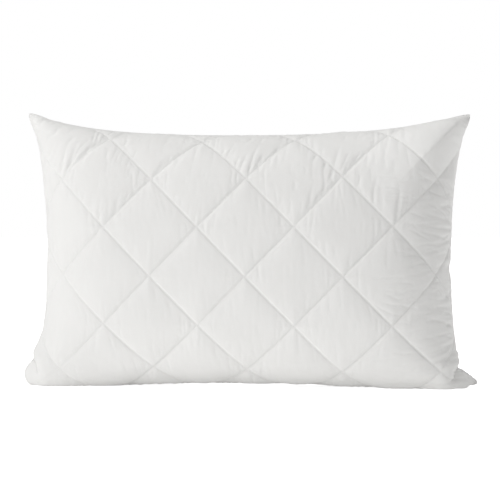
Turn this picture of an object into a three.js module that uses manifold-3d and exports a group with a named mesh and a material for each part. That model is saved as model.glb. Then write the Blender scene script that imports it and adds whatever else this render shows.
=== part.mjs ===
// A diamond-quilted bed pillow, filled and standing on one long edge.
// Millimetres, +X along the length, +Y from the front panel to the back panel, +Z up.
// The origin is on the surface the pillow stands on, under its middle.
import * as THREE from "three";
import { mergeVertices } from "three/addons/utils/BufferGeometryUtils.js";
import Module from "manifold-3d";

// The case as it is cut and sewn, laid flat.
const FLAT_LENGTH = 750;
const FLAT_HEIGHT = 492;

// The filled pillow.
const THICKNESS = 222; // over both face fabrics, at the middle
const TOP_CORNER_SPAN = 724; // between the tips of the two upper corners
const BOTTOM_CORNER_SPAN = 742; // between the tips of the two lower corners, spread by the weight
const SIDE_BOW = 36; // how far each short edge draws in at its middle
const TOP_MID_HEIGHT = 413;
const TOP_BOW = 39; // how far the upper corners stand above the middle of the top edge
const SEAT_SINK = 14; // how much of the round lower edge is pressed flat by standing
const CROWN_POWER = 2.7; // how flat the middle of each face is
const EDGE_POWER = 0.5; // how round the edges are
const WRAP_ALONG = 1.2; // angle from the middle to the short edges, as the fabric curves away
const WRAP_UP = 1.25; // the same to the long edges

// The quilting: square diamonds that stand on their corners.
const HALF_DIAGONAL = 76.7;
const CROSSING = { along: 6.4, up: -25.4 }; // the crossing of two quilting lines nearest the panel's middle

// Surfaces of the layers in each quilted panel: depth under the outer surface at the top of a diamond,
// and how much deeper the quilting pulls that surface down along its lines.
const OUTSIDE = { depth: 0, pull: 10 };
const FACE_FABRIC = { outer: OUTSIDE, inner: { depth: 1.2, pull: 10 } };
const WADDING = { outer: { depth: 1.5, pull: 10 }, inner: { depth: 9, pull: 3.2 } };
const LINING = { outer: { depth: 9.3, pull: 3.2 }, inner: { depth: 10.1, pull: 3.2 } };
const FILL_SURFACE = { depth: 10.4, pull: 3.2 };

// Sewing.
const SEAM_HALF_GAP = 0.7; // half the space that the seam thread takes between the panels
const THREAD = 0.8; // thickness of a thread
const THREAD_CLEARANCE = 0.5; // between a quilting thread and the fabric under it
const SEAM_THREAD = { outer: { depth: 0.3, pull: 0 }, inner: { depth: 1.1, pull: 0 } };

// The care label, sewn into the right edge and folded onto the back panel.
const LABEL = { length: 46, width: 34, thickness: 0.4, centreUp: 43.6, inset: 4, clearance: 1.2 };

// The mesh has four columns and four rows to a diamond, so that the quilting lines run along its edges.
const STEP = HALF_DIAGONAL / 2;
const COLUMNS = { first: -10, last: 10 };
const ROWS = { first: -6, last: 8 };
const LOWEST_STITCH_ROW = -4; // the lines go on below it, where the pillow stands on them

const FRONT = -1;
const BACK = 1;

// Share of the filled pillow's half length or half height at a share of the flat one.
const curvedShare = (share, wrap) => Math.sin(share * wrap) / Math.sin(wrap);

// 0 on a quilting line and 1 at the middle of a diamond.
function puff(along, up) {
  const a = (along - CROSSING.along) / HALF_DIAGONAL;
  const b = (up - CROSSING.up) / HALF_DIAGONAL;
  return Math.abs(Math.sin((Math.PI * (a + b)) / 2) * Math.sin((Math.PI * (a - b)) / 2));
}

// The place of a point of the fabric: (along, up) on the flat panel, depth under the outer surface
// and the share of the pillow's thickness that the quilting takes away there.
function formed(along, up, depth, pulled, side) {
  const u = curvedShare(along / (FLAT_LENGTH / 2), WRAP_ALONG);
  const v = curvedShare(up / (FLAT_HEIGHT / 2), WRAP_UP);
  const cornerSpan = THREE.MathUtils.lerp(BOTTOM_CORNER_SPAN, TOP_CORNER_SPAN, (v + 1) / 2);
  const halfLength = cornerSpan / 2 - SIDE_BOW * (1 - v * v);
  const bottom = -SEAT_SINK * (1 - u ** 8);
  const top = TOP_MID_HEIGHT + TOP_BOW * u * u;
  const crown = ((1 - Math.abs(u) ** CROWN_POWER) * (1 - Math.abs(v) ** CROWN_POWER)) ** EDGE_POWER;
  const height = THREE.MathUtils.lerp(bottom + depth, top - depth, (v + 1) / 2);
  return new THREE.Vector3(
    u * (halfLength - depth),
    side * (SEAM_HALF_GAP + (THICKNESS / 2 - SEAM_HALF_GAP - depth - pulled) * crown),
    Math.max(height, depth),
  );
}

function onSurface(along, up, surface, side) {
  return formed(along, up, surface.depth, surface.pull * (1 - puff(along, up)), side);
}

// A plate one unit thick whose columns and rows are numbered from the crossing.
function numberedPlate() {
  const columns = COLUMNS.last - COLUMNS.first;
  const rows = ROWS.last - ROWS.first;
  const plate = new THREE.BoxGeometry(columns, rows, 1, columns, rows, 1);
  plate.translate((COLUMNS.first + COLUMNS.last) / 2, (ROWS.first + ROWS.last) / 2, 0);
  turnDiagonals(plate);
  return plate;
}

// Turns the diagonal of every other cell of the two faces, so that they all run along the quilting.
function turnDiagonals(plate) {
  const position = plate.getAttribute("position");
  const index = plate.index;
  const corner = new THREE.Vector3();
  for (let i = 0; i < index.count; i += 6) {
    const cell = [0, 1, 2, 4].map((k) => index.getX(i + k)); // corners in order around the cell
    const [a, b, c, d] = [cell[0], cell[1], cell[3], cell[2]];
    const lowest = Math.min(...[a, b, c, d].map((n) => corner.fromBufferAttribute(position, n).y));
    const leftmost = Math.min(...[a, b, c, d].map((n) => corner.fromBufferAttribute(position, n).x));
    const rises = position.getX(b) < position.getX(d) === position.getY(b) < position.getY(d);
    const shouldRise = Math.round(lowest - leftmost) % 2 === 0;
    const turned = rises === shouldRise ? [a, b, d, b, c, d] : [a, b, c, a, c, d];
    turned.forEach((n, k) => index.setX(i + k, n));
  }
}

// Moves each point of a numbered plate to its place on the pillow.
function placed(plate, place) {
  const position = plate.getAttribute("position");
  for (let i = 0; i < position.count; i++) {
    const along = CROSSING.along + position.getX(i) * STEP;
    const up = CROSSING.up + position.getY(i) * STEP;
    const onPanel = [
      THREE.MathUtils.clamp(along, -FLAT_LENGTH / 2, FLAT_LENGTH / 2),
      THREE.MathUtils.clamp(up, -FLAT_HEIGHT / 2, FLAT_HEIGHT / 2),
    ];
    const p = place(...onPanel, position.getZ(i));
    position.setXYZ(i, p.x, p.y, p.z);
  }
  return plate;
}

// One layer of a panel, between its outer and its inner surface.
function panelLayer(layer, side) {
  const place = (along, up, z) => onSurface(along, up, z < 0 ? layer.outer : layer.inner, side);
  return facingOut(placed(numberedPlate(), place), side);
}

// The loose fibre, whose two faces lie against the two linings.
function fibreFill() {
  const place = (along, up, z) => onSurface(along, up, FILL_SURFACE, z < 0 ? BACK : FRONT);
  return placed(numberedPlate(), place);
}

// Going from the flat panel to the front of the pillow mirrors a geometry, which turns its faces inwards.
function facingOut(geometry, side) {
  const index = geometry.index;
  for (let i = 0; side === FRONT && i < index.count; i += 3) {
    const kept = index.getX(i);
    index.setX(i, index.getX(i + 2));
    index.setX(i + 2, kept);
  }
  return geometry;
}

// The quilting lines as their first and last mesh crossings, rising and falling to the right.
function quiltingLines() {
  const [left, right] = [COLUMNS.first + 1, COLUMNS.last - 1];
  const [low, high] = [LOWEST_STITCH_ROW, ROWS.last - 1];
  const lines = [];
  for (let through = -16; through <= 16; through += 4) {
    const rising = { from: Math.max(left, through + low), to: Math.min(right, through + high) };
    const falling = { from: Math.max(left, through - high), to: Math.min(right, through - low) };
    lines.push({ ...rising, rowAt: (column) => column - through, turn: Math.PI / 4 });
    lines.push({ ...falling, rowAt: (column) => through - column, turn: -Math.PI / 4 });
  }
  return lines.filter(({ from, to }) => to > from);
}

// All the quilting thread on one face, lying along the bottoms of the quilting lines.
function quiltingThread(side) {
  const threads = quiltingLines().map(({ from, to, rowAt, turn }) => {
    const run = (to - from) * Math.SQRT2;
    const thickness = THREAD / STEP;
    const thread = new THREE.BoxGeometry(run, thickness, THREAD, to - from, 1, 1);
    thread.translate(run / 2, 0, -THREAD_CLEARANCE - THREAD / 2);
    thread.rotateZ(turn).translate(from, rowAt(from), 0);
    return facingOut(placed(thread, (along, up, depth) => formed(along, up, depth, OUTSIDE.pull, side)), side);
  });
  return joined(threads);
}

// A ring in the seam's plane, between the edges of the two panels.
function perimeterSeamThread() {
  const outside = toSolid(outlinePlate(SEAM_THREAD.outer, THREAD));
  const inside = toSolid(outlinePlate(SEAM_THREAD.inner, THREAD * 2));
  return fromSolid(outside.subtract(inside));
}

// A flat plate in the seam's plane with the outline of the pillow.
function outlinePlate(surface, thickness) {
  const place = (along, up, z) => onSurface(along, up, surface, FRONT).setY(-z * thickness);
  return placed(numberedPlate(), place);
}

function careLabel() {
  const plate = new THREE.BoxGeometry(LABEL.length / STEP, LABEL.width / STEP, LABEL.thickness, 3, 1, 1);
  const centreAlong = FLAT_LENGTH / 2 - LABEL.inset - LABEL.length / 2;
  const centre = [(centreAlong - CROSSING.along) / STEP, (LABEL.centreUp - CROSSING.up) / STEP];
  plate.translate(...centre, -LABEL.clearance - LABEL.thickness / 2);
  return placed(plate, (along, up, depth) => formed(along, up, depth, 0, BACK));
}

// Solids for joining and cutting.
const wasm = await Module();
wasm.setup();

function toSolid(geometry) {
  const bare = geometry.clone().deleteAttribute("normal").deleteAttribute("uv");
  const merged = mergeVertices(bare, 1e-4);
  return new wasm.Manifold(
    new wasm.Mesh({
      numProp: 3,
      vertProperties: new Float32Array(merged.getAttribute("position").array),
      triVerts: new Uint32Array(merged.index.array),
    }),
  );
}

const joined = (geometries) => fromSolid(geometries.map(toSolid).reduce((all, next) => all.add(next)));

function fromSolid(solid) {
  const mesh = solid.getMesh();
  const geometry = new THREE.BufferGeometry();
  geometry.setAttribute("position", new THREE.BufferAttribute(mesh.vertProperties, 3));
  geometry.setIndex(new THREE.BufferAttribute(mesh.triVerts, 1));
  geometry.computeVertexNormals();
  return geometry;
}

// Materials.
const cloth = (color, roughness) => new THREE.MeshStandardMaterial({ color, roughness, metalness: 0 });
const materials = {
  face: cloth(0xe9e8e6, 0.85),
  wadding: cloth(0xf4f4f2, 0.95),
  lining: cloth(0xeeeeec, 0.9),
  fill: cloth(0xf7f7f5, 1.0),
  thread: cloth(0xeceae6, 0.6),
  label: cloth(0xf6f5f2, 0.55),
};

const pillow = new THREE.Group();

function addPiece(name, geometry, material) {
  const mesh = new THREE.Mesh(geometry, material);
  mesh.name = name;
  pillow.add(mesh);
}

for (const [name, side] of [["front", FRONT], ["back", BACK]]) {
  addPiece(`${name}_face_fabric`, panelLayer(FACE_FABRIC, side), materials.face);
  addPiece(`${name}_wadding`, panelLayer(WADDING, side), materials.wadding);
  addPiece(`${name}_lining`, panelLayer(LINING, side), materials.lining);
  addPiece(`${name}_quilting_thread`, quiltingThread(side), materials.thread);
}
addPiece("fibre_fill", fibreFill(), materials.fill);
addPiece("perimeter_seam_thread", perimeterSeamThread(), materials.thread);
addPiece("care_label", careLabel(), materials.label);

export default pillow;
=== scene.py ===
"""A diamond-quilted bed pillow, filled and standing on one long edge.

The case is two fabric panels sewn together round the edge. A position-based cloth simulation fills
them and stands the pillow on the floor. Then the corners are shaped, the panels are quilted, and the
fabric settles into its folds between the stitches.

Lengths are in millimetres until the meshes are made: x along the pillow, y from front to back, z up.
The two panels are one array of points, indexed by axis (x, y, z), by panel (front, back), by column
from the left and by row from the lower seam up.
"""

import math

import bpy
import numpy as np
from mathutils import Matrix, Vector


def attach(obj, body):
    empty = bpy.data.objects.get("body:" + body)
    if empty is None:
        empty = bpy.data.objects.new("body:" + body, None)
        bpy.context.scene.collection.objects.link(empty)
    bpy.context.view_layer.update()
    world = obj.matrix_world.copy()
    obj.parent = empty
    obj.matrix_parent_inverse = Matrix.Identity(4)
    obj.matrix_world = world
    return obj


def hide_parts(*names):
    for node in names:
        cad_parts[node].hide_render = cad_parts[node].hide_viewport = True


# The case as it is sewn, laid flat.
LENGTH, HEIGHT = 750.0, 492.0

# The fabric grid: HALF_DIAGONAL cells to half a quilted diamond, so its lines run through vertices.
COLUMNS, ROWS = 353, 233
CELL = LENGTH / (COLUMNS - 1)
HALF_DIAGONAL = 36
FIRST_COLUMN = 35  # from the left edge to the first crossing of every other row
FIRST_ROW = 20  # from the top edge to the first row of crossings
LINING_STEP = 4  # the lining has one cell for so many of the face's

PUFF = 3.4  # how far the wadding lifts the middle of a diamond
GROOVE = 1.35  # how far the stitches pull the fabric in
STITCH = 0.3  # half the thickness of a thread
CREASE = 1.6  # depth of the creases in the diamonds
SEAM = 3  # creases at a seam start so far inside it
LABEL = {"length": 46, "width": 34, "up": 43.6}  # up from the middle of the edge

UPRIGHT = 1.571  # the angle, in radians, of a crease that runs straight up

# How far the lower ends of the side seams are moved outwards and upwards, at heights along the seam.
EAR_HEIGHTS = (0, 10, 20, 30, 40, 50, 60, 75, 95, 130)
LEFT_EAR = ((-9, 0, 11, 17, 17, 18, 21, 18, 8, 0), (3, 4, 8, 9, 12, 13, 14, 13, 5, 0))
RIGHT_EAR = ((1, 6, 8, 8, 5, 6, 11, 9, 2, 0), (5, 5, 6, 2, -2, -3, -1, 0, 0, 0))

# The filling, first soft on a coarse grid and then firm on a finer one. The case stands on the floor
# from step stand_from; a negative one means that its whole weight rests there from the start.
FILLED = {"thickness": 240, "low": 0.03, "gather": 0.015}
SOFT = {
    "steps": 2600, "stand_from": 1300, "pressure": 0.02, "weight": 0.0009,
    "damping": 0.95, "push": 0.1, "shear_push": 0.05, "bending": 0.015,
}
FIRM = {
    "steps": 500, "stand_from": -1000, "pressure": 0.01, "weight": 0.00045,
    "damping": 0.93, "push": 0.8, "shear_push": 0.25, "bending": 0.01,
}
COARSE, MEDIUM = (67, 45), (133, 89)
SETTLING, QUICK_SETTLING = 80, 4  # steps

# Strength and slant of the creases in each row of diamonds, from the top.
STRENGTH_ROWS, STRENGTH = (-1, 0, 1, 2, 3, 4, 6), (1.7, 1.5, 1.1, 0.5, 0.28, 0.4, 0.7)
SLANT_ROWS, SLANT = (-1, 0, 1, 2), (0.42, 0.4, 0.12, 0.0)

# Creases that start at the seams. lean and sway are the mean and the spread of their angle; those
# past calm_from, counted from the far end of the seam, are shallower by the factor calm.
UPPER = {
    "margin": 12, "spacing": (8, 18), "length": (24, 66), "depth": (0.6, 1.8), "width": (2.4, 4.6),
    "lean": -2.0, "sway": 0.2, "calm_from": 150, "calm": 0.4,
}
LOWER = {
    "margin": 10, "spacing": (9, 16), "length": (16, 46), "depth": (0.6, 1.8), "width": (2.2, 3.6),
    "lean": UPRIGHT, "sway": 0.12,
}
RIGHT = {
    "margin": 18, "spacing": (7, 14), "length": (50, 150), "depth": (1.4, 3.6), "width": (2.0, 4.2),
    "lean": math.pi, "sway": 0.14, "bow": 4, "calm_from": 125, "calm": 0.2,
}
LEFT = {
    "margin": 20, "spacing": (18, 32), "length": (18, 50), "depth": (0.2, 0.8), "width": (3, 5),
    "lean": 0, "sway": 0.1,
}

# The ridge that the fabric forms towards the upper right corner of the front.
RIDGE = {"height": 34, "gentle": 200, "steep": 46, "starts": 4, "ends": 215, "rise": 36, "fall": 150}

# Soft lights: place and size in metres, power in watts.
LIGHTS = {
    "window": ((-3.4, -2.6, 1.5), 2.3, 70),
    "overhead": ((-0.3, -0.2, 2.6), 2.4, 28),
    "front": ((0.4, -3.4, 0.9), 2.0, 2),
    "rim": ((2.6, 1.6, 0.8), 1.2, 16),
}
LIT_POINT = (0, 0, 0.2)
SURROUND = 0.325  # strength of the light from all sides

CAMERA = {"distance": 3.0, "azimuth": 5.5, "elevation": 0.6, "field": 0.8175, "sensor": 36}
CAMERA_TARGET = (0.004, 0, 0.2221)

SEED = 3
ROOT = "root"


# ---- grids


def weights(count, positions):
    """Matrix that reads a row of count values at fractional positions with a smooth cubic."""
    matrix = np.zeros((len(positions), count), np.float32)
    first = np.clip(np.floor(positions).astype(int), 0, count - 2)
    t = positions - first
    cubic = [
        (-t + 2 * t**2 - t**3) / 2,
        (2 - 5 * t**2 + 3 * t**3) / 2,
        (t + 4 * t**2 - 3 * t**3) / 2,
        (-(t**2) + t**3) / 2,
    ]
    rows = np.arange(len(positions))
    for offset, share in zip((-1, 0, 1, 2), cubic):
        column = first + offset
        before, after = column < 0, column > count - 1
        inside = ~(before | after)
        np.add.at(matrix, (rows[inside], column[inside]), share[inside])
        for outside, end, step in ((before, 0, 1), (after, count - 1, -1)):
            np.add.at(matrix, (rows[outside], end), 2 * share[outside])
            np.add.at(matrix, (rows[outside], end + step), -share[outside])
    return matrix


def resample(shape, columns, rows):
    """The same surfaces on a grid of another fineness."""
    along = weights(shape.shape[2], np.linspace(0, shape.shape[2] - 1, columns))
    up = weights(shape.shape[3], np.linspace(0, shape.shape[3] - 1, rows))
    return np.einsum("ai,csij,bj->csab", along, shape, up, optimize=True).astype(np.float32)


def noise(rng, columns, rows, along, up):
    """Smooth noise of about unit strength on both panels, with features of along x up cells."""
    size = (2, int(columns / along) + 4, int(rows / up) + 4)
    coarse = rng.standard_normal(size).astype(np.float32)
    a = weights(size[1], np.linspace(1, size[1] - 2, columns))
    b = weights(size[2], np.linspace(1, size[2] - 2, rows))
    return np.einsum("ai,nij,bj->nab", a, coarse, b, optimize=True)


def outward(shape):
    """Outward normals, as long as the area of a cell."""
    normal = np.cross(np.gradient(shape, axis=2), np.gradient(shape, axis=3), axis=0)
    normal[:, 1] *= -1
    return normal


def unit(vectors):
    return vectors / (np.sqrt((vectors * vectors).sum(0)) + 1e-9)


def eased(share):
    """0 below 0, 1 above 1, a smooth rise between."""
    share = np.clip(share, 0, 1)
    return share * share * (3 - 2 * share)


def bell(distance, reach):
    """1 at no distance, dying away over reach."""
    return np.exp(-((distance / reach) ** 2))


def smoothed(values, axis, passes=3, reach=4):
    """Running mean along one axis over reach cells each way."""
    span = 2 * reach + 1
    count = values.shape[axis]
    for _ in range(passes):
        first, last = np.take(values, [0], axis), np.take(values, [-1], axis)
        padded = np.concatenate([np.repeat(first, reach, axis), values, np.repeat(last, reach, axis)], axis)
        total = np.cumsum(padded, axis=axis)
        total = np.concatenate([np.zeros_like(np.take(total, [0], axis)), total], axis)
        high = np.take(total, np.arange(span, span + count), axis)
        values = (high - np.take(total, np.arange(count), axis)) / span
    return values


# ---- cloth


def spring(points, first, second, rest, pull, push):
    """Moves the ends of a set of threads towards their rest length."""
    both = (slice(None), slice(None))
    a, b = points[both + first], points[both + second]
    gap = b - a
    length = np.sqrt(gap[0] * gap[0] + gap[1] * gap[1] + gap[2] * gap[2]) + 1e-9
    stretch = 1 - rest / length
    if pull == push:
        move = gap * (0.5 * pull * stretch)
    else:
        move = gap * (0.5 * np.where(stretch > 0, pull, push) * stretch)
    a += move
    b -= move


def hold_threads(points, rest, pull, push, shear_pull, shear_push):
    """One pass over the warp, the weft and both diagonals."""
    every, a, b = slice(None), slice(0, -1, 2), slice(1, None, 2)
    along, up, across = rest
    spring(points, (a, every), (b, every), along[..., 0::2, :], pull, push)
    spring(points, (slice(1, -1, 2), every), (slice(2, None, 2), every), along[..., 1::2, :], pull, push)
    spring(points, (every, a), (every, b), up[..., 0::2], pull, push)
    spring(points, (every, slice(1, -1, 2)), (every, slice(2, None, 2)), up[..., 1::2], pull, push)
    low, high = slice(0, -1), slice(1, None)
    for parity in (0, 1):
        left = slice(parity, -1, 2)
        right = slice(parity + 1, None, 2)
        diagonal = across[..., parity::2, :]
        spring(points, (left, low), (right, high), diagonal, shear_pull, shear_push)
        spring(points, (left, high), (right, low), diagonal, shear_pull, shear_push)


def weld(points):
    """Sews the two panels together round the edge."""
    for edge in (0, -1):
        middle = (points[:, 0, edge] + points[:, 1, edge]) / 2
        points[:, 0, edge] = points[:, 1, edge] = middle
        middle = (points[:, 0, :, edge] + points[:, 1, :, edge]) / 2
        points[:, 0, :, edge] = points[:, 1, :, edge] = middle


def laplacian(points):
    inner = points[:, :, 2:, 1:-1] + points[:, :, :-2, 1:-1]
    return inner + points[:, :, 1:-1, 2:] + points[:, :, 1:-1, :-2] - 4 * points[:, :, 1:-1, 1:-1]


def bend(points, stiffness):
    """Evens out the curvature of the fabric. The edges bend only along themselves."""
    curve = np.zeros_like(points)
    curve[:, :, 1:-1] += points[:, :, 2:] + points[:, :, :-2] - 2 * points[:, :, 1:-1]
    curve[:, :, :, 1:-1] += points[:, :, :, 2:] + points[:, :, :, :-2] - 2 * points[:, :, :, 1:-1]
    curve[:, :, [0, -1]] = 0
    curve[:, :, :, [0, -1]] = 0
    points[:, :, 1:-1, 1:-1] -= stiffness * laplacian(curve)


def rest_lengths(columns, rows):
    """Lengths of the threads along, up and across the cells. The edges are gathered least."""
    cell_x, cell_y = LENGTH / (columns - 1), HEIGHT / (rows - 1)
    gather, edge_share, across_share = FILLED["gather"], 0.2, 0.9
    v = np.linspace(-1, 1, rows)[None]
    gathered = 1 - gather * eased((1 - np.abs(v)) / edge_share) * np.ones((columns, 1))
    along = cell_x * (gathered[1:] + gathered[:-1]) / 2
    up = np.full((columns, rows - 1), cell_y)
    diagonal = math.hypot(cell_x * (1 - gather * across_share), cell_y)
    return along, up, np.full((columns - 1, rows - 1), diagonal)


def inflate(shape, case):
    """Fills the case, and from step stand_from lets it stand on the floor."""
    fill_steps, lean_steps, most_pull, shear_pull = 200, 150, -0.3, 0.25
    columns, rows = shape.shape[2:]
    cell_area = LENGTH / (columns - 1) * (HEIGHT / (rows - 1))
    full = FILLED["thickness"] * (1 - FILLED["low"] * np.linspace(-1, 1, rows)[None])
    rest = rest_lengths(columns, rows)
    stand_from = case["stand_from"]
    speed = np.zeros_like(shape)
    for step in range(case["steps"]):
        ramp = min(1.0, step / fill_steps)
        thickness = np.abs(shape[1, 1] - shape[1, 0])
        push = case["pressure"] * ramp * np.clip(1 - thickness / full, most_pull, 1)
        force = outward(shape) / cell_area * push
        if step >= stand_from:
            force[2] -= case["weight"] * min(1.0, (step - stand_from) / lean_steps)
        speed = speed * case["damping"] + force
        moved = shape + speed
        hold_threads(moved, rest, 1.0, case["push"], shear_pull, case["shear_push"])
        weld(moved)
        bend(moved, case["bending"])
        if step >= stand_from:
            low = moved[2] < 0
            moved[2] = np.where(low, 0, moved[2])
            for axis in (0, 1):  # the floor holds what slides along it
                moved[axis] = np.where(low, (moved[axis] + shape[axis]) / 2, moved[axis])
        elif step == stand_from - 1:
            moved[2] -= moved[2].min()
        moved[1] -= moved[1].mean()
        moved[0] -= moved[0].mean()
        speed = moved - shape if step != stand_from - 1 else np.zeros_like(shape)
        shape = moved
    return shape


def filled_case(rng):
    """The case filled with fibre and standing on the floor, first coarse and then with its folds."""
    drawn_in, bulge, crumple, crumple_cells = 0.97, 40, 0.8, 4
    columns, rows = COARSE
    u = np.linspace(-1, 1, columns)[:, None] * np.ones(rows)
    v = np.linspace(-1, 1, rows)[None] * np.ones((columns, 1))
    flat = np.zeros((3, 2, columns, rows))
    flat[0] = u * LENGTH / 2 * drawn_in
    flat[1, 1] = bulge * np.sqrt((1 - u**2) * (1 - v**2))
    flat[1, 0] = -flat[1, 1]
    flat[2] = v * HEIGHT / 2 * drawn_in + HEIGHT / 2
    shape = resample(inflate(flat, SOFT), *MEDIUM).astype(np.float64)
    crease = noise(rng, *MEDIUM, crumple_cells, crumple_cells)
    shape[1, 0] -= crumple * crease[0]
    shape[1, 1] += crumple * crease[1]
    return inflate(shape, FIRM)


# ---- quilting and folds


def diagonals():
    """How far each vertex is along both diagonals, in diamonds: whole numbers on the lines."""
    i, j = np.meshgrid(np.arange(COLUMNS), np.arange(ROWS), indexing="ij")
    a = (i - FIRST_COLUMN) / HALF_DIAGONAL
    b = (ROWS - 1 - j - FIRST_ROW - HALF_DIAGONAL) / HALF_DIAGONAL
    return (a + b) / 2, (a - b) / 2


def from_line():
    """Distance of each vertex from the nearest quilting line, in diamonds."""
    p, q = diagonals()
    return np.minimum(np.abs(p - np.round(p)), np.abs(q - np.round(q)))


def line_distance():
    """Distance of each vertex from the nearest quilting line, in mm."""
    return from_line() * HALF_DIAGONAL * CELL * math.sqrt(2)


def on_line():
    return from_line() < 1e-6


def from_edges():
    """Distance of each vertex from the nearer side and from the nearer of top and bottom, in mm."""
    i, j = np.arange(COLUMNS)[:, None], np.arange(ROWS)[None]
    return np.minimum(i, COLUMNS - 1 - i) * CELL, np.minimum(j, ROWS - 1 - j) * CELL


def from_edge():
    """Distance of each vertex from the nearest edge of the panel, in mm."""
    return np.minimum(*from_edges())


def from_left():
    return np.arange(COLUMNS)[:, None] * CELL


def stretched():
    """Share of the quilting's depth along the pillow: less at the left, where the case is tighter."""
    lost, whole_from, reach = 0.38, 180, 120
    return 1 - lost * eased((whole_from - from_left()) / reach)


def add_crease(height, along, up, angle, length, width, depth, bow=0.0, both=False):
    """Presses one crease into the fabric. It starts at (along, up) mm from the panel's lower left
    corner and runs at angle for length mm; it dies away at its end, or at both of its ends."""
    margin = width * 5
    end = (along + math.cos(angle) * length, up + math.sin(angle) * length)
    i0 = max(0, int((min(along, end[0]) - margin) / CELL))
    i1 = min(COLUMNS, int((max(along, end[0]) + margin) / CELL) + 2)
    j0 = max(0, int((min(up, end[1]) - margin) / CELL))
    j1 = min(ROWS, int((max(up, end[1]) + margin) / CELL) + 2)
    if i1 <= i0 or j1 <= j0:
        return
    x = np.arange(i0, i1)[:, None] * CELL - along
    y = np.arange(j0, j1)[None] * CELL - up
    t = (x * math.cos(angle) + y * math.sin(angle)) / length
    off = -x * math.sin(angle) + y * math.cos(angle) - bow * np.sin(np.pi * np.clip(t, 0, 1))
    if both:
        taper = np.sin(np.pi * np.clip(t, 0, 1)) ** 0.7
    else:
        taper = eased((t + 0.05) / 0.14) * eased((1 - t) / 0.8)
    across = np.sqrt(off * off + (0.35 * width) ** 2) / width
    furrow, banks = 1.6 * np.exp(-across), 0.55 * np.exp(-across / 2.2)
    height[i0:i1, j0:j1] -= depth * taper * (furrow - banks)


def diamonds():
    """Middle of each diamond, in mm from the panel's lower left corner, with its row."""
    half = HALF_DIAGONAL * CELL
    left, top = FIRST_COLUMN * CELL, (ROWS - 1 - FIRST_ROW) * CELL
    for row in range(-1, 8):
        for column in range(-2, 11):
            if (row + column) % 2 == 0:
                yield row, (left + column * half, top - row * half)


def corner_creases(height, rng, middle, strength):
    """Short upright creases, close together in the two side corners of a diamond."""
    half = HALF_DIAGONAL * CELL
    for corner in (-1, 1):
        gap = rng.uniform(3.5, 5.5)
        while gap < 0.4 * half:
            length = 2 * gap * rng.uniform(0.7, 0.95)
            up = middle[1] - length / 2 + rng.normal(0, 0.15) * gap
            depth = rng.uniform(0.5, 1.2) * (0.5 + 0.8 * strength) * (1.25 - 1.6 * gap / half)
            bow = -corner * rng.uniform(0.3, 1.8) * min(1.0, gap / 14)
            lean = UPRIGHT + rng.normal(0, 0.08)
            along = middle[0] + corner * (half - gap)
            add_crease(height, along, up, lean, length, rng.uniform(1.4, 2.0), CREASE * depth, bow, True)
            gap += rng.uniform(4.6, 7.0)


def line_creases(height, rng, middle, strength, slant):
    """Creases that start at a diamond's four sides, and a few that float in its middle."""
    half = HALF_DIAGONAL * CELL
    widest = 0.72  # of the way to the side corners
    place = -widest
    while place < widest:
        for end in (1, -1):
            if rng.random() < 0.2:
                continue
            reach = (1 - abs(place)) * half
            along = middle[0] + (place + rng.normal(0, 0.02)) * half
            up = middle[1] + end * (reach - 1.0)
            angle = -end * (math.pi / 2) + rng.normal(0, 0.13) + 0.22 * place * end - slant
            length = max(12.0, reach * rng.uniform(0.35, 1.1))
            depth = CREASE * rng.uniform(0.25, 1.1) * strength
            width = rng.uniform(1.5, 2.9)
            add_crease(height, along, up, angle, length, width, depth, rng.normal(0, 1.6))
        if rng.random() < 0.5 * strength:
            up = middle[1] + rng.uniform(-0.3, 0.2) * half
            length = rng.uniform(14, 30)
            lean = UPRIGHT + rng.normal(0, 0.15) - slant
            depth = CREASE * rng.uniform(0.2, 0.6) * strength
            width = rng.uniform(1.8, 3.0)
            bow = rng.normal(0, 1.5)
            add_crease(height, middle[0] + place * half, up, lean, length, width, depth, bow, True)
        place += rng.uniform(0.055, 0.12)


def diamond_creases(height, rng):
    """Creases that the quilting pulls into the diamonds, strongest in the upper rows."""
    for row, middle in diamonds():
        strength = np.interp(row, STRENGTH_ROWS, STRENGTH) * rng.uniform(0.75, 1.25)
        corner_creases(height, rng, middle, strength)
        line_creases(height, rng, middle, strength, np.interp(row, SLANT_ROWS, SLANT))


def seam_creases(height, rng, gathers, total, start):
    """A row of creases along a seam of length total. start gives where the one at a place starts."""
    place = float(gathers["margin"])
    while place < total - gathers["margin"]:
        length, depth = rng.uniform(*gathers["length"]), rng.uniform(*gathers["depth"])
        if place > total - gathers.get("calm_from", 0):
            depth *= gathers["calm"]
        angle = gathers["lean"] + rng.normal(0, gathers["sway"])
        width = rng.uniform(*gathers["width"])
        bow = rng.normal(0, gathers["bow"]) if "bow" in gathers else 0.0
        add_crease(height, *start(place), angle, length, width, depth, bow)
        place += rng.uniform(*gathers["spacing"])


def edge_creases(height, rng):
    """Gathers that the seam pulls into the fabric round the edge: slanting at the top, long and wavy
    at the right, and nearly none at the left."""
    width, tall = (COLUMNS - 1) * CELL, (ROWS - 1) * CELL
    seam_creases(height, rng, UPPER, width, lambda place: (place, tall - SEAM))
    seam_creases(height, rng, LOWER, width, lambda place: (place, SEAM))
    seam_creases(height, rng, RIGHT, tall, lambda place: (width - SEAM, place))
    seam_creases(height, rng, LEFT, tall, lambda place: (SEAM, place))


def side_wrinkles(height, rng):
    """Crisp level wrinkles in the fabric packed into the right side."""
    first, last, innermost = 40.0, HEIGHT - 112, 125
    place = first
    while place < last:
        inward, length = rng.uniform(8, innermost), rng.uniform(18, 62)
        angle, width = math.pi + rng.normal(0, 0.17), rng.uniform(1.5, 2.5)
        depth = rng.uniform(0.6, 2.0) * (1.1 - 0.5 * inward / innermost)
        add_crease(height, LENGTH - inward, place, angle, length, width, depth, rng.normal(0, 2.4), True)
        place += rng.uniform(1.6, 3.4)


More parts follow.
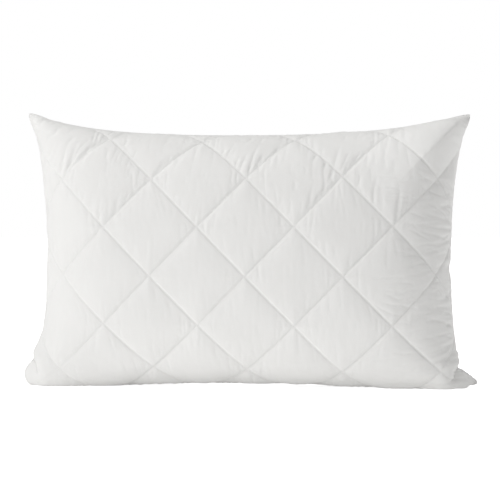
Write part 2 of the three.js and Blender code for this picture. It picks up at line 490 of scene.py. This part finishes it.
def lower_tucks(height, rng):
    """Short crisp tucks at the lower seam."""
    first, last = 40.0, LENGTH - 60
    place = first
    while place < last:
        length, width, depth = rng.uniform(10, 26), rng.uniform(1.5, 2.3), rng.uniform(0.8, 2.4)
        add_crease(height, place, SEAM, UPRIGHT + rng.normal(0, 0.22), length, width, depth)
        place += rng.uniform(6, 12)


def seam_places():
    """Distance of each vertex of the flat panel from its left, right, lower and upper seam, in mm."""
    along = np.linspace(0, LENGTH, COLUMNS)[:, None]
    up = np.linspace(0, HEIGHT, ROWS)[None]
    return along, LENGTH - along, up, HEIGHT - up


def eared(shape):
    """Draws out the lower corners, pinches the right seam in and lowers the upper right corner."""
    ear_fade, ear_middle, ear_reach, evened_reach = 42, 62, 42, 40
    pinch_depth, pinch_fade, pinch_up, pinch_reach = 4, 30, 229, 9
    tip_in, tip_down, tip_reach = 2.5, 6.5, 34
    sunk, corner_reach = 4.4, 60  # the body hangs lower than its two lower corners
    left, right, low, high = seam_places()
    near_side = np.minimum(left, right)
    even = smoothed(shape, 3, 2, 5)
    evened = np.exp(-((near_side / evened_reach) ** 2) - ((low - ear_middle) / ear_reach) ** 2)
    shape = shape + (even - shape) * evened
    for inward, sideways, outwards, upwards in ((left, -1, *LEFT_EAR), (right, 1, *RIGHT_EAR)):
        fade = np.exp(-inward / ear_fade)
        shape[0] += sideways * fade * np.interp(low, EAR_HEIGHTS, outwards)
        shape[2] += fade * np.interp(low, EAR_HEIGHTS, upwards)
    shape[0] -= pinch_depth * np.exp(-right / pinch_fade) * bell(low - pinch_up, pinch_reach)
    tip = bell(np.hypot(right, high), tip_reach)
    shape[0] -= tip_in * tip
    shape[2] -= tip_down * tip
    shape[2] -= sunk * (1 - np.exp(-((near_side / corner_reach) ** 2) - (low / corner_reach) ** 2))
    return shape


def packed(shape):
    """Packs fibre into the lower corners and the right side."""
    left_corner, right_corner = (38, 13), (34, 8)  # reach and height
    side_height, side_rise, side_end, side_fall = 12, 155, 600, 400
    top_reach, bottom_reach, seam_reach = 120, 90, 22
    left, right, low, high = seam_places()
    added = 0
    for inward, (reach, height) in ((left, left_corner), (right, right_corner)):
        share = np.hypot(inward, low) / reach
        added = added + height * share * np.exp(1 - share)
    side = side_height * eased(right / side_rise) * eased((side_end - right) / side_fall)
    side = side * eased(high / top_reach) * eased(low / bottom_reach)
    inside = eased(from_edge() / seam_reach)
    return shape + unit(outward(shape)) * (inside * (added + side))[None, None]


def corner_ridge():
    """How far the ridge to the upper right corner stands out of the front, gentle above it and steep
    below."""
    crest, sharpness, narrowest, seam_reach = 3, 1.3, 2, 24
    _, right, _, high = seam_places()
    far, off = (right + high) / math.sqrt(2), (right - high) / math.sqrt(2)
    reach = np.where(off > 0, RIDGE["gentle"], np.minimum(far + narrowest, RIDGE["steep"]))
    slope = np.clip(1 - np.sqrt(off * off + crest**2) / reach, 0, 1) ** sharpness * eased(high / seam_reach)
    ridge = RIDGE["height"] * slope * eased((far - RIDGE["starts"]) / RIDGE["rise"])
    return ridge * eased((RIDGE["ends"] - far) / RIDGE["fall"])


def shaped_corners(shape):
    """The filled case with its corners, its right side and its ridge as they are."""
    shape = packed(eared(shape))
    shape[1, 0] -= corner_ridge()
    shape[2] = np.maximum(shape[2], 0)
    return shape.astype(np.float32)


def quilted(shape, gathers, rng):
    """The surfaces that the quilted panels tend to, and their outward normals."""
    line_reach, roundness, seam_reach, fold_reach, fold_at_seam = 12.0, 0.1, 30, 12, 0.12
    gathered, uneven, uneven_cells = 0.7, 0.4, 22
    normal = unit(outward(shape))
    p, q = diagonals()
    middle = np.abs(np.sin(np.pi * p) * np.sin(np.pi * q))
    rise = 1 - np.exp(-line_distance() / line_reach)
    puffed = PUFF * stretched() * rise * middle**roundness
    broad = np.stack([smoothed(smoothed(g, 0, 2, 1), 1, 2, 1) for g in gathers])
    fold = gathered * broad + uneven * noise(rng, COLUMNS, ROWS, uneven_cells, uneven_cells)
    fold_share = fold_at_seam + (1 - fold_at_seam) * eased(from_edge() / fold_reach)
    height = puffed * eased(from_edge() / seam_reach) + fold * fold_share
    height[:, [0, -1]] = 0
    height[:, :, [0, -1]] = 0
    return shape + normal * height[None].astype(np.float32), normal


def creased(points, gathers, rng):
    """Adds the stitched grooves and the small creases between them."""
    flank_width, flank_fade = 155, 70  # level wrinkles replace the upright ones there
    held_reach, broad_reach, sharp_reach, broad_share = 2.4, 3.0, 1.3, 0.35
    distance = line_distance()
    off_line = 1 - bell(distance, held_reach)
    flank = eased((flank_width - (LENGTH - from_left())) / flank_fade)
    fine = np.zeros((2, COLUMNS, ROWS))
    for side in (0, 1):
        diamond_creases(fine[side], rng)
    fine *= off_line * eased(from_edge() / 22) * (1 - 0.8 * flank)
    fine += 0.5 * gathers * (0.4 + 0.6 * off_line) * eased(from_edge() / 12)
    fine += 0.07 * noise(rng, COLUMNS, ROWS, 2.6, 16) + 0.05 * noise(rng, COLUMNS, ROWS, 2.2, 5)
    crisp = np.zeros((2, COLUMNS, ROWS))
    for side in (0, 1):
        side_wrinkles(crisp[side], rng)
        lower_tucks(crisp[side], rng)
    fine += crisp * (0.3 + 0.7 * off_line)
    broad_groove, sharp_groove = np.exp(-distance / broad_reach), bell(distance, sharp_reach)
    fine -= GROOVE * stretched() * (broad_share * broad_groove + (1 - broad_share) * sharp_groove)
    fine *= eased(from_edge() / 9)
    points = even_seam(points + unit(outward(points)) * fine[None].astype(np.float32))
    points[2] = np.maximum(points[2], 0)
    return points


def even_seam(points):
    """Takes the ripple out of the fabric right beside the seams, least at the sides and the bottom."""
    reach, along_sides, at_bottom, bottom_from, bottom_rise = 5, 0.45, 0.3, 30, 60
    corner, corner_rise = 3, 12
    from_side, from_end = from_edges()
    off_bottom = eased((np.arange(ROWS)[None] * CELL - bottom_from) / bottom_rise)
    share = bell(from_end, reach) * eased((from_side - corner) / corner_rise)
    share = share * (at_bottom + (1 - at_bottom) * off_bottom)
    points = points + (smoothed(points, 2, 2, 3) - points) * share
    share = along_sides * bell(from_side, reach) * eased((from_end - corner) / corner_rise)
    points = points + (smoothed(points, 3, 2, 3) - points) * share
    return points.astype(np.float32)


def settle(target, normal, steps, rng):
    """Lets the quilted fabric find its own folds between the stitches."""
    spare_along, spare_up, damping, crumple, shear = 1.012, 1.006, 0.85, 0.15, 0.1
    height_hold, place_hold, bending = (0.5, 0.12), (0.15, 0.01), (0.0008, 0.006)  # stitched, free
    points = target + normal * (crumple * noise(rng, COLUMNS, ROWS, 3, 9))[None]
    stitched = on_line() & (from_edge() > 4)
    lengths = [np.sqrt((np.diff(target, axis=axis) ** 2).sum(0)) for axis in (2, 3)]
    along = smoothed(smoothed(lengths[0], 1), 2, 2, 3) * spare_along
    up = smoothed(smoothed(lengths[1], 1), 2, 2, 3) * spare_up
    across = np.sqrt(along[:, :, :-1] ** 2 + up[:, :-1] ** 2).astype(np.float32)
    rest = (along.astype(np.float32), up.astype(np.float32), across)
    height_spring = np.where(stitched, *height_hold).astype(np.float32)
    place_spring = np.where(stitched, *place_hold).astype(np.float32)
    stiffness = np.where(stitched, *bending).astype(np.float32)[1:-1, 1:-1]
    speed = np.zeros_like(points)
    for _ in range(steps):
        moved = points + speed * damping
        away = target - moved
        height = (away * normal).sum(0)
        moved += normal * (height * (height_spring - place_spring)) + away * place_spring
        hold_threads(moved, rest, 1.0, 1.0, shear, shear)
        weld(moved)
        curve = np.zeros_like(moved)
        curve[:, :, 1:-1, 1:-1] = laplacian(moved)
        moved[:, :, 1:-1, 1:-1] -= stiffness * laplacian(curve)
        moved[2] = np.maximum(moved[2], 0)
        speed = moved - points
        points = moved
    return points


# ---- meshes


def mesh_object(name, points, faces, material, flat=None, marks=None):
    """A smooth mesh in metres. flat holds each vertex's place on the flat fabric, in metres."""
    mesh = bpy.data.meshes.new(name)
    loops = np.concatenate([f.ravel() for f in faces]).astype(np.int32)
    sizes = np.concatenate([np.full(len(f), f.shape[1]) for f in faces]).astype(np.int32)
    mesh.vertices.add(len(points))
    mesh.vertices.foreach_set("co", np.asarray(points, np.float32).ravel())
    mesh.loops.add(len(loops))
    mesh.loops.foreach_set("vertex_index", loops)
    mesh.polygons.add(len(sizes))
    mesh.polygons.foreach_set("loop_start", np.concatenate([[0], np.cumsum(sizes)[:-1]]).astype(np.int32))
    mesh.update(calc_edges=True)
    mesh.polygons.foreach_set("use_smooth", np.ones(len(sizes), bool))
    if flat is not None:
        uv = mesh.uv_layers.new(name="fabric")
        uv.data.foreach_set("uv", np.asarray(flat, np.float32)[loops].ravel())
    if marks is not None:
        mark = mesh.attributes.new("mark", "FLOAT", "POINT")
        mark.data.foreach_set("value", np.asarray(marks, np.float32))
    mesh.materials.append(material)
    mesh.validate()
    item = bpy.data.objects.new(name, mesh)
    bpy.context.scene.collection.objects.link(item)
    return item


def grid_faces(numbers, flipped):
    a, b, c, d = numbers[:-1, :-1], numbers[1:, :-1], numbers[1:, 1:], numbers[:-1, 1:]
    corners = (a, d, c, b) if flipped else (a, b, c, d)
    return np.stack(corners, -1).reshape(-1, 4)


def split_faces(numbers, normal, flipped):
    """Triangles, each cell split along the diagonal whose ends face more alike, so grooves stay sharp."""
    a, b, c, d = numbers[:-1, :-1], numbers[1:, :-1], numbers[1:, 1:], numbers[:-1, 1:]
    rising = (normal[:, :-1, :-1] * normal[:, 1:, 1:]).sum(0)
    falling = (normal[:, 1:, :-1] * normal[:, :-1, 1:]).sum(0)
    first = rising >= falling
    lower = np.stack([a, b, np.where(first, c, d)], -1)
    upper = np.stack([np.where(first, a, b), c, d], -1)
    halves = np.concatenate([lower.reshape(-1, 3), upper.reshape(-1, 3)])
    return halves[:, ::-1] if flipped else halves


def outline(numbers):
    """The numbers round the edge of a grid, once round."""
    return np.concatenate([numbers[:-1, 0], numbers[-1, :-1], numbers[:0:-1, -1], numbers[0, :0:-1]])


def flat_places(columns, rows, length=LENGTH, height=HEIGHT):
    """Places on the flat fabric of a grid's vertices, in metres."""
    u, v = np.meshgrid(np.linspace(0, length, columns), np.linspace(0, height, rows), indexing="ij")
    return np.stack([u, v], -1).reshape(-1, 2) / 1000


def rim(face, back):
    """Triangles that close the edge between a fine grid and one LINING_STEP times as coarse."""
    fine, coarse = outline(face), outline(back)
    near = np.repeat(coarse, LINING_STEP)
    after = np.roll(coarse, -1)
    half = LINING_STEP // 2
    share = np.arange(len(fine)) % LINING_STEP
    corner = np.where(share < half, near, np.repeat(after, LINING_STEP))
    fans = np.stack([fine, np.roll(fine, -1), corner], -1)
    bridges = np.stack([coarse, fine[half::LINING_STEP], after], -1)
    return np.concatenate([fans, bridges])


def lining_under(smooth, fabric):
    """The lining: the filled case's own surface, a little inside it. Beside the seams it follows the
    fabric instead, and stays between the two panels."""
    depth, depth_reach, least_depth, share_of_gap, off_floor = 5.0, 60, 0.1, 0.2, 0.3
    fabric_reach, drawn_in, drawn_reach = 12, 0.6, 34
    edge = from_edge()
    coarse = (smooth + (fabric - smooth) * np.exp(-edge / fabric_reach))[:, :, ::LINING_STEP, ::LINING_STEP]
    edge = edge[::LINING_STEP, ::LINING_STEP]
    coarse += (coarse.mean(1, keepdims=True) - coarse) * drawn_in * bell(edge, drawn_reach)
    gap = np.linalg.norm(coarse[:, 1] - coarse[:, 0], axis=0)
    inward = least_depth + np.minimum(depth * eased(edge / depth_reach), share_of_gap * gap)
    lining = coarse - unit(outward(coarse)) * inward.astype(np.float32)
    lining[2] = np.maximum(lining[2], off_floor)
    return lining


def panel(name, side, points, lining, material):
    """A closed quilted panel: its face at full fineness and its lining at a part of it."""
    wear_reach = 9  # from the seam
    outer = points[:, side].reshape(3, -1).T / 1000
    inner = lining[:, side].reshape(3, -1).T / 1000
    face = np.arange(COLUMNS * ROWS).reshape(COLUMNS, ROWS)
    columns, rows = lining.shape[2:]
    back = COLUMNS * ROWS + np.arange(columns * rows).reshape(columns, rows)
    halves = split_faces(face, unit(outward(points))[:, side], side == 1)
    quads = grid_faces(back, side == 0)
    edge = rim(face, back)
    if side == 0:
        edge = edge[:, ::-1]
    marks = np.concatenate([np.exp(-from_edge() / wear_reach).ravel(), np.zeros(back.size)])
    flat = np.concatenate([flat_places(COLUMNS, ROWS), flat_places(columns, rows)])
    return mesh_object(name, np.concatenate([outer, inner]), [halves, quads, edge], material, flat, marks)


def thread_stitches(name, starts, ends, normals, material):
    """Short stitches, each from a start to an end, that dip into the fabric at both ends."""
    radius, sides = STITCH / 1000, 6
    share, lift = np.array([0.06, 0.3, 0.7, 0.94]), np.array([-0.35, 0.35, 0.35, -0.35]) * radius
    thick = np.array([0.45, 1.0, 1.0, 0.45]) * radius
    rings = len(share)
    forward = ends - starts
    across = np.cross(forward, normals)
    across /= np.linalg.norm(across, axis=1, keepdims=True) + 1e-12
    centre = starts[:, None] + forward[:, None] * share[:, None] + normals[:, None] * lift[:, None]
    turn = np.arange(sides) * 2 * math.pi / sides
    ring = (
        np.cos(turn)[None, None, :, None] * normals[:, None, None]
        + np.sin(turn)[None, None, :, None] * across[:, None, None]
    )
    points = (centre[:, :, None] + ring * thick[None, :, None, None]).reshape(-1, 3)
    first = np.arange(len(starts))[:, None, None] * (sides * rings)
    near = first + np.arange(rings - 1)[None, :, None] * sides
    k = np.arange(sides)[None, None]
    after = (k + 1) % sides
    walls = np.stack([near + after, near + sides + after, near + sides + k, near + k], -1).reshape(-1, 4)
    caps = np.arange(sides)[None] + first[:, 0]
    start_caps = np.concatenate([caps[:, 3::-1], caps[:, [5, 4, 3, 0]]])
    end_caps = np.concatenate([caps[:, :4], caps[:, [3, 4, 5, 0]]]) + sides * (rings - 1)
    return mesh_object(name, points, [np.concatenate([walls, start_caps, end_caps])], material)


def quilting_stitches(name, side, points, material):
    """One stitch for each cell that a quilting line crosses."""
    seam_margin, off_fabric = 5, 0.1
    surface = points[:, side]
    normal = unit(outward(points))[:, side]
    stitched = on_line() & (from_edge() > seam_margin)
    i, j = np.meshgrid(np.arange(COLUMNS - 1), np.arange(ROWS - 1), indexing="ij")
    found = []
    for rise in (0, 1):
        a, b = (i, j + rise), (i + 1, j + 1 - rise)
        run = stitched[a] & stitched[b]
        read = ((surface, a), (surface, b), (normal, a))
        found.append([values[:, at[0][run], at[1][run]].T for values, at in read])
    starts, ends, normals = (np.concatenate(both).astype(float) for both in zip(*found))
    proud = normals * off_fabric
    return thread_stitches(name, (starts + proud) / 1000, (ends + proud) / 1000, normals, material)


def seam_stitches(name, points, material):
    """The thread that joins the two panels, all the way round."""
    set_in = 0.35
    edge = outline(np.arange(COLUMNS * ROWS).reshape(COLUMNS, ROWS))
    line = points[:, 0].reshape(3, -1).T[edge].astype(float)
    inner = points.mean(1)[:, 1:-1, 1:-1]
    inner = np.pad(inner, ((0, 0), (1, 1), (1, 1)), mode="edge").reshape(3, -1).T[edge]
    away = line - inner
    away /= np.linalg.norm(away, axis=1, keepdims=True) + 1e-9
    line = line - away * set_in
    return thread_stitches(name, line / 1000, np.roll(line, -1, 0) / 1000, away, material)


def fibre_body(name, smooth, rng, material):
    """The loose fibre, lumpy and a little smaller than the case it fills."""
    depth, depth_reach, least_depth, lumpiness, lump_cells = 9, 90, 0.3, 1.6, 5
    middle = np.array([0, 0, HEIGHT * 0.42])[:, None, None, None]
    shrunk = np.array([0.972, 1, 0.955])[:, None, None, None]
    coarse = smooth[:, :, ::LINING_STEP, ::LINING_STEP].astype(float)
    columns, rows = coarse.shape[2:]
    edge = eased(from_edge() / depth_reach)[::LINING_STEP, ::LINING_STEP]
    lumps = lumpiness * noise(rng, columns, rows, lump_cells, lump_cells)
    coarse = coarse - unit(outward(coarse)) * ((depth + lumps) * edge + least_depth)[None]
    coarse = (coarse - middle) * shrunk + middle
    weld(coarse)
    numbers = np.arange(columns * rows).reshape(columns, rows)
    back = numbers + columns * rows
    back[[0, -1]] = numbers[[0, -1]]
    back[:, [0, -1]] = numbers[:, [0, -1]]
    points = coarse.transpose(1, 2, 3, 0).reshape(-1, 3)
    faces = np.concatenate([grid_faces(numbers, False), grid_faces(back, True)])
    used, faces = np.unique(faces, return_inverse=True)
    return mesh_object(name, points[used] / 1000, [faces.reshape(-1, 4)], material)


def care_label(name, fabric, material):
    """A blank tape sewn into the right edge and lying on the back panel."""
    columns, rows = 25, 19
    sewn_in, lift, curl, ripple, half_thickness = 0.4, 0.6, 1.8, 0.3, 0.2
    surface = smoothed(smoothed(fabric, 2, 2, 3), 3, 2, 3)
    normal = unit(outward(surface))[:, 1]
    a = (LENGTH - np.linspace(sewn_in, LABEL["length"], columns)) / CELL
    b = (HEIGHT / 2 + LABEL["up"] + np.linspace(-0.5, 0.5, rows) * LABEL["width"]) / CELL
    along, up = weights(COLUMNS, a), weights(ROWS, b)
    place = np.einsum("ai,cij,bj->cab", along, surface[:, 1], up)
    out = unit(np.einsum("ai,cij,bj->cab", along, normal, up))
    share = np.linspace(0, 1, columns)[:, None]
    wave = ripple * np.sin(7 * share + np.linspace(0, 2, rows)[None])
    height = lift + curl * share**2 + wave * share
    layers = [place + out * (height - half_thickness), place + out * (height + half_thickness)]
    numbers = np.arange(columns * rows).reshape(columns, rows)
    low, high = outline(numbers), outline(numbers) + numbers.size
    walls = np.stack([low, high, np.roll(high, -1), np.roll(low, -1)], -1)
    faces = np.concatenate([grid_faces(numbers, False), grid_faces(numbers + numbers.size, True), walls])
    points = np.concatenate([layer.reshape(3, -1).T for layer in layers]) / 1000
    flat = flat_places(columns, rows, LABEL["length"], LABEL["width"])
    return mesh_object(name, points, [faces[:, ::-1]], material, np.concatenate([flat, flat]))


# ---- materials


def give(made, values):
    """Sets the inputs of a node."""
    for socket, value in values.items():
        made.inputs[socket].default_value = value


def new_material(name, finish):
    """A material, its tree and its shader, which has the given finish."""
    material = bpy.data.materials.new(name)
    material.use_nodes = True
    tree = material.node_tree
    shader = tree.nodes["Principled BSDF"]
    give(shader, finish)
    return material, tree, shader


def node(tree, kind, links=None, **settings):
    """A shader node with its inputs linked. A setting is the value of an input or of a property."""
    made = tree.nodes.new("ShaderNode" + kind)
    for key, value in settings.items():
        if key in made.inputs:
            made.inputs[key].default_value = value
        else:
            setattr(made, key, value)
    for socket, source in (links or {}).items():
        tree.links.new(source, made.inputs[socket])
    return made


def maths(tree, operation, first, second=0.0, third=0.0):
    made = node(tree, "Math", operation=operation)
    for socket, value in zip(made.inputs, (first, second, third)):
        if isinstance(value, (int, float)):
            socket.default_value = value
        else:
            tree.links.new(value, socket)
    return made.outputs[0]


def texture(tree, place, **settings):
    return node(tree, "TexNoise", {"Vector": place}, **settings).outputs["Fac"]


def remapped(tree, value, low, high, span=(0, 1), **settings):
    """A value that runs through span, brought between low and high."""
    made = node(tree, "MapRange", {"Value": value}, **settings)
    give(made, {"From Min": span[0], "From Max": span[1], "To Min": low, "To Max": high})
    return made.outputs["Result"]


def weave_height(tree, place, pitch):
    """Height of a plain weave whose threads pass over each other every pitch metres, with slubs."""
    split = node(tree, "SeparateXYZ", {"Vector": place})
    turn = math.pi / pitch
    warp = maths(tree, "SINE", maths(tree, "MULTIPLY", split.outputs["X"], turn))
    weft = maths(tree, "SINE", maths(tree, "MULTIPLY", split.outputs["Y"], turn))
    over = maths(tree, "MULTIPLY", warp, weft)
    thread = maths(tree, "MINIMUM", *(maths(tree, "ABSOLUTE", wave) for wave in (warp, weft)))
    weave = maths(tree, "MULTIPLY_ADD", over, 0.4, thread)
    slub = texture(tree, place, Scale=420.0, Detail=2.0)
    drawn_out = node(tree, "VectorMath", {0: place}, operation="MULTIPLY")
    drawn_out.inputs[1].default_value = (420, 30, 1)
    streak = texture(tree, drawn_out.outputs[0], Scale=1.0, Detail=2.0)
    cloth = maths(tree, "MULTIPLY_ADD", slub, 0.6, weave)
    return maths(tree, "MULTIPLY_ADD", streak, 2.5, cloth)


def woven_fabric(name, colour, shade, pitch, roughness, depth):
    """Woven cloth, with its shade in faint patches and beside the seams."""
    sheen = {"Sheen Weight": 0.12, "Sheen Roughness": 0.45, "Specular IOR Level": 0.25}
    material, tree, shader = new_material(name, {"Roughness": roughness, **sheen})
    place = node(tree, "UVMap", uv_map="fabric").outputs["UV"]
    weave = weave_height(tree, place, pitch)
    fine = node(tree, "Bump", {"Height": weave}, Strength=0.35, Distance=depth)
    lump = texture(tree, place, Scale=55.0, Detail=4.0, Roughness=0.6)
    relief = {"Height": lump, "Normal": fine.outputs["Normal"]}
    broad = node(tree, "Bump", relief, Strength=0.5, Distance=0.0006)
    tree.links.new(broad.outputs["Normal"], shader.inputs["Normal"])
    patches = texture(tree, place, Scale=9.0, Detail=3.0)
    tone = remapped(tree, patches, 0.0, 0.35, (0.3, 0.7))
    worn = node(tree, "Attribute", attribute_name="mark")
    mix = node(tree, "Mix", data_type="RGBA")
    tree.links.new(maths(tree, "MULTIPLY_ADD", worn.outputs["Fac"], 0.5, tone), mix.inputs["Factor"])
    first, second = (socket for socket in mix.inputs if socket.type == "RGBA")
    first.default_value = (*colour, 1)
    second.default_value = (*shade, 1)
    result = next(socket for socket in mix.outputs if socket.type == "RGBA")
    tree.links.new(result, shader.inputs["Base Color"])
    return material


def fibrous(name, grain, relief, patches, brightness, tint, finish):
    """Thread or loose fibre. Grain and patches are the noises of its bumps and its brightness, and
    relief is the strength and depth of the bumps."""
    material, tree, shader = new_material(name, finish)
    place = node(tree, "TexCoord").outputs["Object"]
    height = {"Height": texture(tree, place, **grain)}
    bump = node(tree, "Bump", height, Strength=relief[0], Distance=relief[1])
    tree.links.new(bump.outputs["Normal"], shader.inputs["Normal"])
    bright = remapped(tree, texture(tree, place, **patches), *brightness)
    colour = node(tree, "CombineColor")
    for channel, share in zip(("Red", "Green", "Blue"), tint):
        tree.links.new(maths(tree, "MULTIPLY", bright, share), colour.inputs[channel])
    tree.links.new(colour.outputs["Color"], shader.inputs["Base Color"])
    return material


def sewing_thread():
    return fibrous(
        "sewing_thread", grain={"Scale": 2500.0, "Detail": 2.0}, relief=(0.4, 0.0001),
        patches={"Scale": 90.0}, brightness=(0.84, 0.9), tint=(1.0, 0.995, 0.98),
        finish={"Roughness": 0.5, "Sheen Weight": 0.1},
    )


def hollow_fibre():
    tufts = {"Scale": 180.0, "Detail": 6.0, "Distortion": 1.5}
    return fibrous(
        "hollow_fibre", grain=tufts, relief=(0.9, 0.003), patches=tufts,
        brightness=(0.8, 0.93), tint=(1.0, 1.0, 0.99), finish={"Roughness": 0.95, "Sheen Weight": 0.3},
    )


# ---- the scene


def floor():
    """A pale floor that looks white. It lights the pillow from below, less so close under it."""
    reach, drop = 60.0, -0.0002
    seen_glow, bounce_glow, clear = 0.6, 0.345, (-0.1, 0.14)
    finish = {"Base Color": (0.86, 0.86, 0.86, 1), "Roughness": 0.9, "Emission Color": (1, 1, 1, 1)}
    material, tree, shader = new_material("pale_floor", finish)
    path = node(tree, "LightPath")
    place = node(tree, "TexCoord").outputs["Object"]
    across = node(tree, "SeparateXYZ", {"Vector": place}).outputs["Y"]
    away = maths(tree, "ABSOLUTE", across)
    bounce = remapped(tree, away, 0, 1, clear, interpolation_type="SMOOTHSTEP")
    bounce = maths(tree, "MULTIPLY", bounce, bounce_glow)
    glow = maths(tree, "MULTIPLY_ADD", path.outputs["Is Camera Ray"], seen_glow, bounce)
    tree.links.new(glow, shader.inputs["Emission Strength"])
    corners = [(x * reach, y * reach, drop) for x, y in ((-1, -1), (1, -1), (1, 1), (-1, 1))]
    mesh_object("floor", corners, [np.array([[0, 1, 2, 3]])], material)


def surroundings():
    """Even light from all sides, white where the camera sees it."""
    world = bpy.data.worlds.new("studio")
    bpy.context.scene.world = world
    world.use_nodes = True
    tree = world.node_tree
    surround = tree.nodes["Background"]
    give(surround, {"Color": (1, 1, 1, 1), "Strength": SURROUND})
    seen = node(tree, "Background", Strength=1.0, Color=(1, 1, 1, 1))
    path = node(tree, "LightPath")
    both = node(tree, "MixShader", {"Fac": path.outputs["Is Camera Ray"]})
    tree.links.new(surround.outputs[0], both.inputs[1])
    tree.links.new(seen.outputs[0], both.inputs[2])
    tree.links.new(both.outputs[0], tree.nodes["World Output"].inputs["Surface"])


def lights():
    for name, (place, size, power) in LIGHTS.items():
        lamp = bpy.data.lights.new(name, "AREA")
        lamp.size = size
        lamp.energy = power
        holder = bpy.data.objects.new(name, lamp)
        bpy.context.scene.collection.objects.link(holder)
        holder.location = place
        holder.rotation_euler = (Vector(LIT_POINT) - holder.location).to_track_quat("-Z", "Y").to_euler()


def view():
    """A nearly level camera, a little right of the middle."""
    azimuth, elevation = math.radians(CAMERA["azimuth"]), math.radians(CAMERA["elevation"])
    camera = bpy.data.cameras.new("camera")
    eye = bpy.data.objects.new("camera", camera)
    scene = bpy.context.scene
    scene.view_settings.view_transform = "Standard"
    scene.collection.objects.link(eye)
    scene.camera = eye
    camera.sensor_width = CAMERA["sensor"]
    camera.lens = CAMERA["sensor"] * CAMERA["distance"] / CAMERA["field"]
    level = math.cos(elevation)
    back = Vector((math.sin(azimuth) * level, -math.cos(azimuth) * level, math.sin(elevation)))
    eye.location = Vector(CAMERA_TARGET) + back * CAMERA["distance"]
    eye.rotation_euler = (-back).to_track_quat("-Z", "Y").to_euler()


def simulated(rng):
    """The filled case before it is quilted, and its fabric with the quilting and the folds."""
    smooth = shaped_corners(resample(filled_case(rng), COLUMNS, ROWS))
    gathers = np.zeros((2, COLUMNS, ROWS))
    for side in (0, 1):
        edge_creases(gathers[side], rng)
    target, normal = quilted(smooth, gathers, rng)
    steps = SETTLING
    return smooth, creased(settle(target, normal, steps, rng), gathers, rng)


def placed(piece, slot, *nodes):
    """Puts a piece on the pillow in place of its CAD nodes."""
    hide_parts(*nodes)
    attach(piece, ROOT)
    return piece


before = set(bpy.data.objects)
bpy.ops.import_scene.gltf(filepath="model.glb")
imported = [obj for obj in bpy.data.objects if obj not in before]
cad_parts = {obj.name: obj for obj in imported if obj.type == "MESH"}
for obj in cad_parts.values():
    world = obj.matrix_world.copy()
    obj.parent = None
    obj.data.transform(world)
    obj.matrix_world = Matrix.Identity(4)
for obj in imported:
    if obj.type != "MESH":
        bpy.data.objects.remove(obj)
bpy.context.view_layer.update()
rng = np.random.default_rng(SEED)
smooth, fabric = simulated(rng)
lining = lining_under(smooth, fabric)

cotton = woven_fabric("white_cotton", (0.83, 0.825, 0.81), (0.76, 0.755, 0.74), 0.0006, 0.85, 0.00006)
satin = woven_fabric("label_satin", (0.9, 0.895, 0.88), (0.84, 0.835, 0.82), 0.0004, 0.45, 0.00003)
thread = sewing_thread()
for side, name in enumerate(("front", "back")):
    face = panel(name + "_quilted_panel", side, fabric, lining, cotton)
    placed(face, "face_fabric", name + "_face_fabric", name + "_wadding", name + "_lining")
    stitches = quilting_stitches(name + "_quilting_stitches", side, fabric, thread)
    placed(stitches, "thread", name + "_quilting_thread")

placed(seam_stitches("perimeter_seam", fabric, thread), "thread", "perimeter_seam_thread")
fill = placed(fibre_body("fibre_filling", smooth, rng, hollow_fibre()), "fibre_fill", "fibre_fill")
label = placed(care_label("blank_care_label", fabric, satin), "label", "care_label")

floor()
surroundings()
lights()
view()
